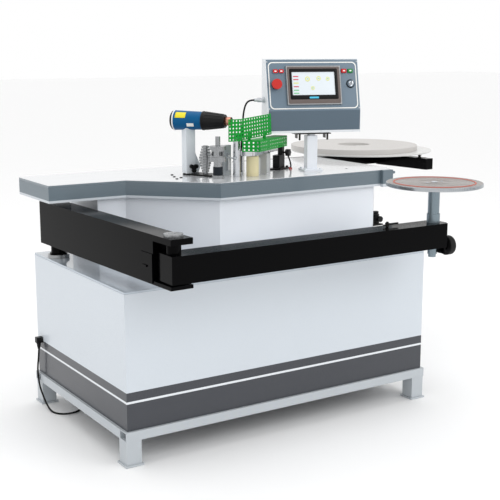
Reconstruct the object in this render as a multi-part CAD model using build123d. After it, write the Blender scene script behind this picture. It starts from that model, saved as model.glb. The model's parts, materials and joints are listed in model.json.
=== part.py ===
from build123d import *
import math
import os

# Edge banding machine. Millimetres, +Z up. Everything below is measured from the floor under the middle of
# the base cabinet, and save() moves it to the part's own origin, on the floor under the whole machine's middle.

# ---------------------------------------------------------------- driving dimensions
MIDDLE = (314, 1.29)       # the whole machine's middle, from the middle of the base cabinet
BASE_X = 1300              # base cabinet, left to right
BASE_Y = 790               # base cabinet, front to back
BASE_TOP = 602             # top face of the base cabinet's lid
TABLE_TOP = 900            # working height
APRON_H = 65               # grey edge of the table
FRAME_PROUD = 10           # base frame stands out from the cabinet
RAIL_LOW, RAIL_HIGH = 90, 123
RAIL_W = 50
LEG = 56
FOOT_PLATE = 68
FOOT_T = 6
SHEET = 3                  # cabinet sheet metal
LID_T = 8
PLATE_T = 10               # table plate

PIVOT = (-605, 261)        # vertical hinge of the first arm
ARM_1_YAW = 2.14           # first arm's direction, from straight ahead
ARM_1_REACH = 857          # pivot to elbow
ARM_1_W, ARM_1_LOW, ARM_1_HIGH = 80, 652, 812
ARM_2_W, ARM_2_LOW, ARM_2_HIGH = 90, 667, 757
ELBOW = (PIVOT[0] + ARM_1_REACH * math.sin(math.radians(ARM_1_YAW)),
         PIVOT[1] - ARM_1_REACH * math.cos(math.radians(ARM_1_YAW)))
ARM_2_LEFT, ARM_2_RIGHT = -31, 1108      # ends of the second arm, from the elbow
ARM_WALL = 5
PIN_R = 12
RUN_FIT = 0.05             # radial clearance of a running fit
BEAD = 0.3                 # gap between faces that turn past each other
DISC_OUT = 1078            # elbow to the support disc's axis
DISC_R, DISC_TOP, DISC_T = 175, 905, 14

POST = (365, -24)          # control post and swivel axis
BOX_YAW = -17
BOX_HALF = 193             # half width of the control box
BOX_LOW, BOX_FACE_LOW, BOX_BEND, BOX_HIGH = 1054, 1063, 1141, 1340
BOX_FRONT, BOX_BACK = -47, 40
FACE_TILT = 13             # lean of the upper face
ESTOP = (-156, 102)        # places on the upper face: across from the middle, and up from the bend
KEY = (155, 104)
PANEL_UP = 98.6
LAMP_UP = 155
LAMPS = (-155, -131)
BUTTONS = (129, 156)
GLAND_END = 235            # end of the control cable's gland, from the post's axis
GLAND_Y, GLAND_Z = 4, 1182

GUN = (-115, 118)          # heat gun's post
GUN_Z = 1109
GUN_YAW = -51              # direction of its nozzle
KNOB_ASIDE, KNOB_UP = 8, 928             # clamp knob, from the post's axis and above the floor
TOWER = (-81, -45)         # pressure roller tower
FINS = (-78, 52)           # finned cone behind the tower
GLUE = (5, -41)            # glue roller shaft
GLUE_R = 14.5
FEED = (71, -50)           # feed roller shaft
FEED_R = 24
GUIDES = (1, 20)           # stack of small guide rollers
HEAD_YAW = 32              # direction of the feed head
HEAD_START = (56, -43)     # centre of the head plate's round end
HEAD_LENGTH = 215
HEAD_HALF = 28
HEAD_LOW, HEAD_HIGH = 978, 996
BRACKET = (288, 90)        # edge bracket at the head's far end
KNOB_Z = 966
GUARD_LOW, GUARD_TOP = 998, 1040         # lower guard
GUARD_T = 1.5

REEL = (1000, 445)         # spindle of the tape tray
TRAY_R, TRAY_LOW, TRAY_T = 328, 908, 6
COIL_OFFSET = (-28, 18)    # the tape coil lies off the tray's centre
COIL_R, COIL_HOLE_R, TAPE_W = 295, 75, 22
BEAM_LOW, BEAM_HIGH = 843, 893
GUIDE_HINGE = (1072, 445)
GUIDE_YAW = -83            # direction of the tape guide arm
GUIDE_LENGTH = 353

MOTOR = (110, 70)          # feed gear motor, under the table
SPROCKET_R = 22
GEAR_R = math.hypot(FEED[0] - GLUE[0], FEED[1] - GLUE[1]) / 2 - 0.4
SPROCKET_LOW, GEAR_LOW = 800, 816

CORD_R = 3.5
CORD_ROUTE = [(-665, 352, 227), (-666, 357, 190), (-668, 367, 145), (-667, 366, 105), (-668, 350, 72),
              (-668, 322, 46), (-669, 286, 22), (-668, 250, 5.5), (-664, 217, 3.5), (-645, 190, 3.5),
              (-612, 178, 3.5), (-575, 188, 3.5), (-551, 222, 3.5), (-541, 268, 3.5), (-538, 325, 3.5),
              (-527, 385, 3.5), (-502, 440, 3.5), (-466, 486, 3.5), (-449.3, 530, 3.5), (-449.3, 560, 3.5)]
COIL = (-400, 560)         # spare length of the power cord, put away behind the base
COIL_TURN_R = 38.5         # middle of the turns
COIL_ACROSS = 4            # turns side by side
COIL_LAYERS = 2
COIL_PITCH = 7.2           # from one turn to the next
PLUG_ROUTE = [(-400, 609.3, 10.7), (-371, 609.3, 9), (-346, 601, 9), (-327, 583, 13), (-315, 560, 18),
              (-307, 535, 18)]

TABLE_OUTLINE = [(-700, 395), (-700, 100), (-400, 92), (-142, -167), (663, -167), (690, -110), (690, 395)]
UPPER_OUTLINE = [(-500, 375), (-500, 125), (-390, 115), (-135, -145), (595, -145), (595, 375)]


# ---------------------------------------------------------------- helpers
def block(x0, x1, y0, y1, z0, z1):
    return Pos((x0 + x1) / 2, (y0 + y1) / 2, (z0 + z1) / 2) * Box(x1 - x0, y1 - y0, z1 - z0)


def rod(x, y, z0, z1, radius):
    return Pos(x, y, (z0 + z1) / 2) * Cylinder(radius, z1 - z0)


def rod_x(x0, x1, y, z, radius):
    return Pos((x0 + x1) / 2, y, z) * Rot(0, 90, 0) * Cylinder(radius, x1 - x0)


def rod_y(x, y0, y1, z, radius):
    return Pos(x, (y0 + y1) / 2, z) * Rot(90, 0, 0) * Cylinder(radius, y1 - y0)


def ring(x, y, z0, z1, outer, inner):
    return rod(x, y, z0, z1, outer) - rod(x, y, z0 - 1, z1 + 1, inner)


def slab(points, z0, z1):
    face = make_face(Polyline(*[(x, y) for x, y in points], close=True))
    return Pos(0, 0, z0) * extrude(face, z1 - z0)


def square_tube(x0, x1, y0, y1, z0, z1, wall, axis):
    cut = {"x": (0, wall, wall), "y": (wall, 0, wall), "z": (wall, wall, 0)}[axis]
    inner = block(x0 + cut[0], x1 - cut[0], y0 + cut[1], y1 - cut[1], z0 + cut[2], z1 - cut[2])
    return block(x0, x1, y0, y1, z0, z1) - inner


def inset(points, distance):
    """Corners of the outline moved inwards by a distance; the outline runs anticlockwise from above."""
    moved = []
    count = len(points)
    for index in range(count):
        before, here, after = points[index - 1], points[index], points[(index + 1) % count]
        ax, ay = here[0] - before[0], here[1] - before[1]
        bx, by = after[0] - here[0], after[1] - here[1]
        la, lb = math.hypot(ax, ay), math.hypot(bx, by)
        nax, nay = -ay / la, ax / la
        nbx, nby = -by / lb, bx / lb
        scale = distance / (1 + nax * nbx + nay * nby)
        moved.append((here[0] + (nax + nbx) * scale, here[1] + (nay + nby) * scale))
    return moved


def mitred_walls(points, thickness, z0, z1):
    """One upright sheet for each side of an outline, mitred where they meet."""
    inner = inset(points, thickness)
    walls = []
    for index in range(len(points)):
        after = (index + 1) % len(points)
        walls.append(slab([points[index], points[after], inner[after], inner[index]], z0, z1))
    return walls


def save(name, *pieces):
    solids = [Pos(-MIDDLE[0], -MIDDLE[1], 0) * solid for piece in pieces for solid in piece.solids()]
    shape = solids[0] if len(solids) == 1 else Compound(children=solids)
    export_step(shape, "parts/" + name + ".step")


def rounded_route(points, name):
    """Straight runs joined by arcs as large as the runs allow, with a round section."""
    corners = [Vector(*point) for point in points]
    radii = []
    for index in range(1, len(corners) - 1):
        before, after = corners[index] - corners[index - 1], corners[index + 1] - corners[index]
        half_turn = math.radians(before.get_angle(after)) / 2
        radii.append(0.45 * min(before.length, after.length) / math.tan(half_turn))
    return FilletPolyline(*points, radius=radii), radii


def cord_tube(points, radius, name):
    path, radii = rounded_route(points, name)
    section = Plane(origin=path @ 0, z_dir=path % 0) * Circle(radius)
    tube = sweep(section, path=path)
    expected = math.pi * radius ** 2 * path.length
    print(name, "length", round(path.length), "radii", [round(r) for r in radii],
          "volume ratio", round(tube.volume / expected, 3))
    return tube


# ---------------------------------------------------------------- base
def base_frame():
    x, y = BASE_X / 2 + FRAME_PROUD, BASE_Y / 2 + FRAME_PROUD
    pieces = [rod_x(x, x + 14, -y + 25, 100, 5.5)]
    for side in (-1, 1):
        front = sorted((side * y, side * (y - RAIL_W)))
        ends = sorted((side * x, side * (x - RAIL_W)))
        pieces.append(square_tube(-x, x, front[0], front[1], RAIL_LOW, RAIL_HIGH, 3, "x"))
        pieces.append(square_tube(ends[0], ends[1], -y + RAIL_W, y - RAIL_W, RAIL_LOW, RAIL_HIGH, 3, "y"))
        for depth in (-1, 1):
            cx, cy = side * (x - LEG / 2 - 2), depth * (y - LEG / 2 - 2)
            half, plate = LEG / 2, FOOT_PLATE / 2
            pieces.append(square_tube(cx - half, cx + half, cy - half, cy + half, FOOT_T, RAIL_LOW, 3, "z"))
            pieces.append(block(cx - plate, cx + plate, cy - plate, cy + plate, 0, FOOT_T))
    save("base_frame", *pieces)


DOOR_X, DOOR_LOW, DOOR_HIGH = 280, 170, 560     # service opening in the back
HINGE_X, HINGE_Y = -296, BASE_Y / 2 + 7


def cabinet_panels():
    x, y = BASE_X / 2, BASE_Y / 2
    top = BASE_TOP - LID_T
    front = block(-x, x, -y, -y + SHEET, RAIL_HIGH, top)
    sides = [block(s * x - (s > 0) * SHEET, s * x + (s < 0) * SHEET, -y + SHEET, y - SHEET, RAIL_HIGH, top)
             for s in (-1, 1)]
    floor = block(-x + SHEET, x - SHEET, -y + SHEET, y - SHEET, RAIL_HIGH, RAIL_HIGH + SHEET)
    back = [block(-x, -DOOR_X, y - SHEET, y, RAIL_HIGH, top), block(DOOR_X, x, y - SHEET, y, RAIL_HIGH, top),
            block(-DOOR_X, DOOR_X, y - SHEET, y, RAIL_HIGH, DOOR_LOW),
            block(-DOOR_X, DOOR_X, y - SHEET, y, DOOR_HIGH, top)]
    knuckles = []
    for z in (DOOR_LOW + 60, DOOR_HIGH - 60):
        for low in (z - 30, z + 10):
            leaf = block(HINGE_X - 16, HINGE_X, y + 0.2, y + 3, low, low + 20)
            knuckles.append(leaf + rod(HINGE_X, HINGE_Y, low, low + 20, 5) - rod(HINGE_X, HINGE_Y, low, low + 20, 2.5))
        knuckles.append(rod(HINGE_X, HINGE_Y, z - 32, z + 32, 2.45))
    save("cabinet_panels", front, *sides, floor, *back, *knuckles)


def rear_door():
    y = BASE_Y / 2
    door = block(-DOOR_X - 10, DOOR_X + 10, y + 1, y + 4, DOOR_LOW - 10, DOOR_HIGH + 10)
    for z in (DOOR_LOW + 60, DOOR_HIGH - 60):
        door += rod(HINGE_X, HINGE_Y, z - 9.7, z + 9.7, 5) - rod(HINGE_X, HINGE_Y, z - 10, z + 10, 2.5)
        door += block(HINGE_X + 3, HINGE_X + 12, y + 4, y + 9, z - 9.7, z + 9.7)
    latch_z = (DOOR_LOW + DOOR_HIGH) / 2
    save("rear_door", door - rod_y(DOOR_X - 14, y - 5, y + 10, latch_z, 5))
    latch = rod_y(DOOR_X - 14, y - 12, y + 6, latch_z, 4.95) + rod_y(DOOR_X - 14, y + 4.3, y + 12, latch_z, 14)
    latch += block(DOOR_X - 17, DOOR_X - 11, y + 12, y + 22, latch_z - 18, latch_z + 18)
    save("door_latch", latch + rod_y(DOOR_X - 14, y - 16, y - 12, latch_z, 10))


def cabinet_lid():
    lid = block(-BASE_X / 2, BASE_X / 2, -BASE_Y / 2, BASE_Y / 2, BASE_TOP - LID_T, BASE_TOP)
    save("cabinet_lid", lid)
    flange = rod(*PIVOT, BASE_TOP, BASE_TOP + 14, 40) + rod(*PIVOT, BASE_TOP + 14, ARM_1_HIGH - 12, PIN_R)
    save("arm_pivot_flange", flange)


# ---------------------------------------------------------------- table
def table():
    save("upper_cabinet", *mitred_walls(UPPER_OUTLINE, SHEET, BASE_TOP, TABLE_TOP - PLATE_T))
    front = -167.2
    end_block = block(611, 663, front - 16, front, 832, 899)
    apron = mitred_walls(TABLE_OUTLINE, SHEET, TABLE_TOP - APRON_H, TABLE_TOP - PLATE_T)
    save("table_apron", *apron, end_block, rod_x(663, 676, front - 8, 887, 5.5))
    plate = slab(TABLE_OUTLINE, TABLE_TOP - PLATE_T, TABLE_TOP)
    for x, y, radius in ((*GLUE, 10.5), (*FEED, 10.5), (*POST, 9)):
        plate -= rod(x, y, TABLE_TOP - PLATE_T - 1, TABLE_TOP + 1, radius)
    save("table_plate", plate)


# ---------------------------------------------------------------- swing arms
def on_pivot(shape):
    return Pos(PIVOT[0], PIVOT[1], 0) * Rot(0, 0, ARM_1_YAW) * shape


def arm_1():
    half = ARM_1_W / 2
    back, front, tip = 71, -(ARM_1_REACH - 60), -(ARM_1_REACH + 50)
    tube = block(-half, half, front, back, ARM_1_LOW, ARM_1_HIGH)
    tube -= block(-half + ARM_WALL, half - ARM_WALL, front + ARM_WALL, back - ARM_WALL,
                  ARM_1_LOW + ARM_WALL, ARM_1_HIGH - ARM_WALL)
    tube -= rod(0, 0, ARM_1_LOW - 1, ARM_1_LOW + ARM_WALL + 1, 28)
    barrel = rod(0, 0, BASE_TOP + 14 + BEAD, ARM_1_HIGH - ARM_WALL, 28)
    barrel += rod(0, 0, BASE_TOP + 14 + BEAD, BASE_TOP + 19, 33)
    barrel -= rod(0, 0, BASE_TOP, ARM_1_HIGH - ARM_WALL - 6, PIN_R + RUN_FIT)
    ears = [block(-half, half, tip, front, ARM_1_HIGH - 20, ARM_1_HIGH),
            block(-half, half, tip, front, ARM_1_LOW, ARM_1_LOW + 12)]
    ears = [ear - rod(0, -ARM_1_REACH, ARM_1_LOW - 1, ARM_1_HIGH + 1, PIN_R) for ear in ears]
    cover = block(-half - 3, -half, front + 2, front + 75, ARM_1_LOW + 4, ARM_1_LOW + 98)
    handle = block(-half - 7, -half - 3, front + 34, front + 62, ARM_1_LOW + 52, ARM_1_LOW + 58)
    save("arm_1_beam", *[on_pivot(piece) for piece in (tube, barrel, *ears, cover + handle)])
    pin = rod(0, -ARM_1_REACH, ARM_1_LOW + 2, ARM_1_HIGH, PIN_R) + rod(0, -ARM_1_REACH, ARM_1_HIGH, ARM_1_HIGH + 9, 31)
    slot = block(-20, 20, -ARM_1_REACH - 2, -ARM_1_REACH + 2, ARM_1_HIGH + 6, ARM_1_HIGH + 10)
    save("elbow_pin", on_pivot(pin - slot))


def at_elbow(shape):
    return Pos(ELBOW[0], ELBOW[1], 0) * shape


def arm_2():
    half = ARM_2_W / 2
    bore = PIN_R + RUN_FIT
    tube = block(ARM_2_LEFT, ARM_2_RIGHT, -half, half, ARM_2_LOW, ARM_2_HIGH)
    tube -= block(ARM_2_LEFT + ARM_WALL, ARM_2_RIGHT - 8, -half + ARM_WALL, half - ARM_WALL,
                  ARM_2_LOW + ARM_WALL, ARM_2_HIGH - ARM_WALL)
    tube -= rod(0, 0, ARM_2_LOW - 1, ARM_2_HIGH + 1, bore)
    tube -= rod(DISC_OUT, 0, ARM_2_LOW - 1, ARM_2_HIGH + 1, 14)
    barrel = ring(0, 0, ARM_2_HIGH, ARM_1_HIGH - 20 - BEAD, 24, bore)
    washer = ring(0, 0, ARM_1_LOW + 12 + BEAD, ARM_2_LOW, 24, bore)
    sleeve = ring(0, 0, ARM_2_LOW + ARM_WALL, ARM_2_HIGH - ARM_WALL, 20, bore)
    end_plate = block(ARM_2_RIGHT, ARM_2_RIGHT + 8, -30, 30, 640, ARM_2_HIGH)
    stud_z = 664
    stud = rod_x(ARM_2_RIGHT + 8, ARM_2_RIGHT + 30, 0, stud_z, 18)
    stud += rod_x(ARM_2_RIGHT + 30, ARM_2_RIGHT + 58, 0, stud_z, 8)
    stud += rod_x(ARM_2_RIGHT + 58, ARM_2_RIGHT + 62, 0, stud_z, 13)
    lever_pin = rod(LEVER_OUT, 10, ARM_2_HIGH, ARM_2_HIGH + 19, 5)
    save("arm_2_beam", *[at_elbow(p) for p in (tube, barrel, washer, sleeve, end_plate, stud, lever_pin)])
    roller = rod_x(ARM_2_RIGHT + 31, ARM_2_RIGHT + 57, 0, stud_z, 36)
    save("hand_roller", at_elbow(roller - rod_x(ARM_2_RIGHT + 30, ARM_2_RIGHT + 58, 0, stud_z, 8 + RUN_FIT)))
    lever = rod(LEVER_OUT, 10, ARM_2_HIGH + 3, ARM_2_HIGH + 15, 8)
    lever += block(LEVER_OUT, LEVER_OUT + 50, 7, 13, ARM_2_HIGH + 7, ARM_2_HIGH + 13)
    lever += block(LEVER_OUT - 18, LEVER_OUT, 7.5, 12.5, ARM_2_HIGH + 5, ARM_2_HIGH + 10)
    save("lock_lever", at_elbow(lever - rod(LEVER_OUT, 10, ARM_2_HIGH, ARM_2_HIGH + 20, 5 + RUN_FIT)))


LEVER_OUT = 868


def support_disc():
    low = DISC_TOP - DISC_T
    post = rod(DISC_OUT, 0, ARM_2_HIGH, ARM_2_HIGH + 33, 24) + rod(DISC_OUT, 0, ARM_2_HIGH + 33, low - 12, 21)
    post += rod(DISC_OUT, 0, 629, ARM_2_HIGH, 14) + rod(DISC_OUT, 0, low - 12, low + 6, 10)
    nut = ring(DISC_OUT, 0, 640, ARM_2_LOW, 17, 14)
    save("disc_post", at_elbow(post), at_elbow(nut))
    disc = rod(DISC_OUT, 0, low, DISC_TOP, DISC_R) + rod(DISC_OUT, 0, low - 12 + BEAD, low, 30)
    disc -= rod(DISC_OUT, 0, low - 13, low + 6.5, 10 + RUN_FIT)
    disc -= ring(DISC_OUT, 0, DISC_TOP - 3, DISC_TOP + 1, 150, 144)
    cord_ring = ring(DISC_OUT, 0, DISC_TOP - 3, DISC_TOP + 1.5, 150, 144)
    centre = rod(DISC_OUT, 0, DISC_TOP, DISC_TOP + 4, 12)
    screws = [rod(DISC_OUT + s * 35, 0, DISC_TOP, DISC_TOP + 2.5, 5) for s in (-1, 1)]
    save("support_disc", *[at_elbow(piece) for piece in (disc, centre, *screws, cord_ring)])


# ---------------------------------------------------------------- control box
def on_post(shape):
    return Pos(POST[0], POST[1], 0) * Rot(0, 0, BOX_YAW) * shape


def face_plane():
    tilt = math.radians(FACE_TILT)
    return Plane(origin=(0, BOX_FRONT, BOX_BEND), x_dir=(1, 0, 0), z_dir=(0, -math.cos(tilt), math.sin(tilt)))


def on_face(x, up, shape):
    return on_post(face_plane() * Pos(x, up, 0) * shape)


def box_prism(front, back, low, bend, high, half):
    lean = (high - bend) * math.tan(math.radians(FACE_TILT))
    outline = Polyline((front, low), (front, bend), (front + lean, high), (back, high), (back, low), close=True)
    face = Plane.YZ * make_face(outline)
    return Pos(-half, 0, 0) * extrude(face, 2 * half)


def control_box():
    flange = block(-38, 38, -38, 38, TABLE_TOP, TABLE_TOP + 6) - rod(0, 0, TABLE_TOP - 1, TABLE_TOP + 7, 9)
    tube = square_tube(-21, 21, -21, 21, TABLE_TOP + 6, 1036, 3, "z")
    cap = block(-21, 21, -21, 21, 1036, 1040) + rod(0, 0, 1040, 1046, 16) + rod(0, 0, 1046, 1053, 8)
    bolts = [rod(sx * 30, sy * 30, TABLE_TOP + 6, TABLE_TOP + 11, 5) for sx in (-1, 1) for sy in (-1, 1)]
    save("control_post", *[on_post(piece) for piece in (flange, tube, cap, *bolts)])

    plate = block(-71, 76, -26, 36, 1046 + BEAD, 1050 + BEAD) - rod(0, 0, 1046, 1051, 8 + RUN_FIT)
    plate += block(-63, -59.5, -12, 12, 1030, 1046 + BEAD) + block(55, 58.5, -12, 12, 1030, 1046 + BEAD)
    screws = [rod(x, 0, 1021, 1046 + BEAD, 4) + rod(x, 0, 1050 + BEAD, BOX_LOW, 6) for x in (-47, 70)]
    save("swivel_plate", *[on_post(piece) for piece in (plate, *screws)])

    side = box_prism(BOX_FRONT, BOX_BACK, BOX_LOW, BOX_BEND, BOX_HIGH, SHEET / 2)
    sides = [Pos(s * (BOX_HALF - SHEET / 2), 0, 0) * side for s in (-1, 1)]
    inner = BOX_HALF - SHEET
    roof_front = BOX_FRONT + (BOX_HIGH - BOX_BEND) * math.tan(math.radians(FACE_TILT))
    back = block(-inner, inner, BOX_BACK - SHEET, BOX_BACK, BOX_LOW, BOX_HIGH)
    roof = block(-inner, inner, roof_front, BOX_BACK - SHEET, BOX_HIGH - SHEET, BOX_HIGH)
    floor = block(-inner, inner, BOX_FRONT, BOX_BACK - SHEET, BOX_LOW, BOX_LOW + SHEET)
    lip = block(-inner, inner, BOX_FRONT, BOX_FRONT + 8, BOX_LOW + SHEET, BOX_FACE_LOW)
    save("control_shell", *[on_post(piece) for piece in (*sides, back, roof, floor, lip)])

    inset_z = BOX_HIGH - SHEET
    sheet = box_prism(BOX_FRONT, BOX_BACK, BOX_FACE_LOW, BOX_BEND, inset_z, BOX_HALF - SHEET)
    sheet -= box_prism(BOX_FRONT + 2, BOX_BACK + 1, BOX_FACE_LOW - 1, BOX_BEND, inset_z + 1, BOX_HALF)
    collar = on_face(*ESTOP, Pos(0, 0, 4) * (Cylinder(14, 8) - Cylinder(8.1, 9)))
    key_ring = on_face(*KEY, Pos(0, 0, 2.5) * (Cylinder(13.5, 5) - Cylinder(9.05, 6)))
    lamps = [on_face(x, LAMP_UP, Pos(0, 0, 3) * Box(21, 15, 6)) for x in LAMPS]
    holes = [on_face(*ESTOP, Cylinder(8.1, 12)), on_face(*KEY, Cylinder(9.05, 12))]
    holes += [on_face(x, LAMP_UP, Box(21.2, 15.2, 12)) for x in BUTTONS]
    save("control_face", on_post(sheet) - holes, collar, key_ring, *lamps)

    bezel = Pos(0, 0, 4.5) * Box(226, 154, 9) - Pos(-2, 6.5, 8.5) * Box(181, 95, 3)
    save("touch_panel", on_face(0, PANEL_UP, bezel))
    mushroom = Pos(0, 0, 8) * Cylinder(8, 12) + Pos(0, 0, 19) * Cylinder(20, 10)
    save("estop_button", on_face(*ESTOP, mushroom))
    key = Pos(0, 0, 2.5) * Cylinder(9, 6) + Pos(0, 0, 16) * Box(3, 13, 22)
    save("switch_key", on_face(*KEY, key))
    for name, x in zip(("button_stop", "button_start"), BUTTONS):
        save(name, on_face(x, LAMP_UP, Pos(0, 0, 2) * Box(21, 15, 10)))
    gland = rod_x(-BOX_HALF - 7, -BOX_HALF, GLAND_Y, GLAND_Z, 12)
    gland += rod_x(-BOX_HALF - 28, -BOX_HALF - 7, GLAND_Y, GLAND_Z, 9)
    gland += rod_x(-GLAND_END, -BOX_HALF - 28, GLAND_Y, GLAND_Z, 6.5)
    save("cable_gland", on_post(gland))


def post_point(x, y, z):
    turn = math.radians(BOX_YAW)
    return (POST[0] + x * math.cos(turn) - y * math.sin(turn), POST[1] + x * math.sin(turn) + y * math.cos(turn), z)


def control_cable():
    start = post_point(-GLAND_END - BEAD, GLAND_Y, GLAND_Z)
    route = [start, post_point(-257, GLAND_Y, GLAND_Z), (108, 63, 1160), (104, 70, 1120), (105, 78, 1050),
             (103, 84, 975), (104, 86, TABLE_TOP + 4)]
    save("control_cable", cord_tube(route, 3.5, "control_cable"),
         ring(104, 86, TABLE_TOP, TABLE_TOP + 4, 12, 3.6))


# ---------------------------------------------------------------- heat gun
def on_gun(start, end, radius, end_radius):
    cone = Cone(radius, end_radius, end - start, align=(Align.CENTER, Align.CENTER, Align.MIN))
    return Pos(GUN[0], GUN[1], GUN_Z) * Rot(0, 0, GUN_YAW) * Pos(start, 0, 0) * Rot(0, 90, 0) * cone


def heat_gun():
    x, y = GUN
    along, across = (0.41, -0.91), (0.91, 0.41)
    corner = (-141, 120)
    outline = [corner]
    for step, side in ((130, 0), (130, 68), (0, 68)):
        outline.append((corner[0] + along[0] * step + across[0] * side,
                        corner[1] + along[1] * step + across[1] * side))
    base = slab(outline, TABLE_TOP, TABLE_TOP + 6)
    stub = rod(x, y, TABLE_TOP + 6, TABLE_TOP + 40, 10)
    save("gun_base", base, stub)
    post = block(x - 19.5, x + 19.5, y - 18, y + 18, TABLE_TOP + 6 + BEAD, GUN_Z - 42)
    post -= rod(x, y, TABLE_TOP, TABLE_TOP + 41, 10 + RUN_FIT)
    gusset = Plane.XZ * make_face(Polyline((x + 19.5, 1000), (x + 52, 932), (x + 42, 907), (x + 19.5, 907), close=True))
    gusset = Pos(0, y + 3, 0) * extrude(gusset, 6)
    body = on_gun(-55, 68, 38, 34)
    saddle = block(x - 19.5, x + 19.5, y - 18, y + 18, GUN_Z - 42, GUN_Z - 28) - body
    post = (post + gusset + saddle) - rod_y(x + KNOB_ASIDE, y - 19, y - 9, KNOB_UP, 4)
    save("gun_post", post)
    save("gun_body", body + on_gun(-67, -55, 28, 36))
    save("gun_nozzle", on_gun(68, 152, 35, 25), on_gun(152, 176, 16, 15))
    kx = x + KNOB_ASIDE
    knob = rod_y(kx, y - 27, y - 11, KNOB_UP, 3.95) + rod_y(kx, y - 32, y - 22, KNOB_UP, 9)
    for turn in (30, 150, 270):
        lobe_x = kx + 11 * math.cos(math.radians(turn))
        knob += rod_y(lobe_x, y - 32, y - 22, KNOB_UP + 11 * math.sin(math.radians(turn)), 8)
    save("gun_knob", knob)


# ---------------------------------------------------------------- feed head
def press_tower():
    x, y = TOWER
    base = rod(x, y, TABLE_TOP, 912, 22) + rod(x, y, 912, 944, 6)
    neck = rod(x, y, 944, 964, 16)
    lower = rod(x, y, 964, 981, 31)
    body = rod(x, y, 981, 1007, 24) - block(x - 30, x + 30, y - 8, y + 8, 986, 1002)
    body -= block(x - 8, x + 8, y - 30, y + 30, 986, 1002)
    upper = rod(x, y, 1007, 1022, 31)
    shaft = rod(x, y, 981, 1057, 9.5)
    fx, fy = FINS
    angle = math.degrees(math.atan2(fy - y, fx - x))
    reach = math.hypot(fx - x, fy - y)
    link = Pos(x, y, 0) * Rot(0, 0, angle) * block(0, reach, -8, 8, 983, 989)
    save("press_tower", base + neck + lower + body + upper + shaft + (link - rod(fx, fy, 960, 995, 27)))
    fins = rod(fx, fy, TABLE_TOP + 6, 1016, 9)
    for level in range(10):
        low = 915 + level * 10.2
        fins += rod(fx, fy, low, low + 7, 26 - abs(low + 3.5 - 966) / 4)
    save("finned_cone", fins)
    save("press_roller", ring(x, y, 912 + BEAD, 944 - BEAD, 18.5, 6 + RUN_FIT))


def driven_roller(name, centre, radius, top, low, drive):
    x, y = centre
    shape = rod(x, y, TABLE_TOP + BEAD, top, radius) + rod(x, y, low, TABLE_TOP + BEAD, 10)
    save(name, shape + drive)


def drive_train():
    gx, gy = GLUE
    sprocket = rod(gx, gy, SPROCKET_LOW, SPROCKET_LOW + 8, SPROCKET_R)
    gear = rod(gx, gy, GEAR_LOW, GEAR_LOW + 10, GEAR_R)
    driven_roller("glue_roller", GLUE, GLUE_R, 1060, SPROCKET_LOW, sprocket + gear)
    gear = rod(*FEED, GEAR_LOW, GEAR_LOW + 10, GEAR_R)
    driven_roller("feed_roller", FEED, FEED_R, HEAD_LOW - 2, GEAR_LOW, gear)
    mx, my = MOTOR
    motor = rod(mx, my, BASE_TOP + 8, 740, 45) + block(mx - 55, mx + 55, my - 55, my + 55, BASE_TOP, BASE_TOP + 8)
    motor += block(mx - 42, mx + 42, my - 42, my + 42, 740, 775)
    save("gear_motor", motor - rod(mx, my, 760, 776, 7 + RUN_FIT))
    save("motor_sprocket", rod(mx, my, 761, 812, 7) + rod(mx, my, SPROCKET_LOW, SPROCKET_LOW + 8, SPROCKET_R))
    span = math.hypot(mx - gx, my - gy)
    angle = math.degrees(math.atan2(my - gy, mx - gx))
    loop = SlotCenterToCenter(span, 2 * (SPROCKET_R + 5)) - SlotCenterToCenter(span, 2 * (SPROCKET_R + 0.6))
    place = Pos((gx + mx) / 2, (gy + my) / 2, SPROCKET_LOW + 1) * Rot(0, 0, angle)
    save("drive_chain", place * extrude(loop, 6))


def along_head(x, y, shape):
    return Pos(x, y, 0) * Rot(0, 0, HEAD_YAW) * shape


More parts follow.
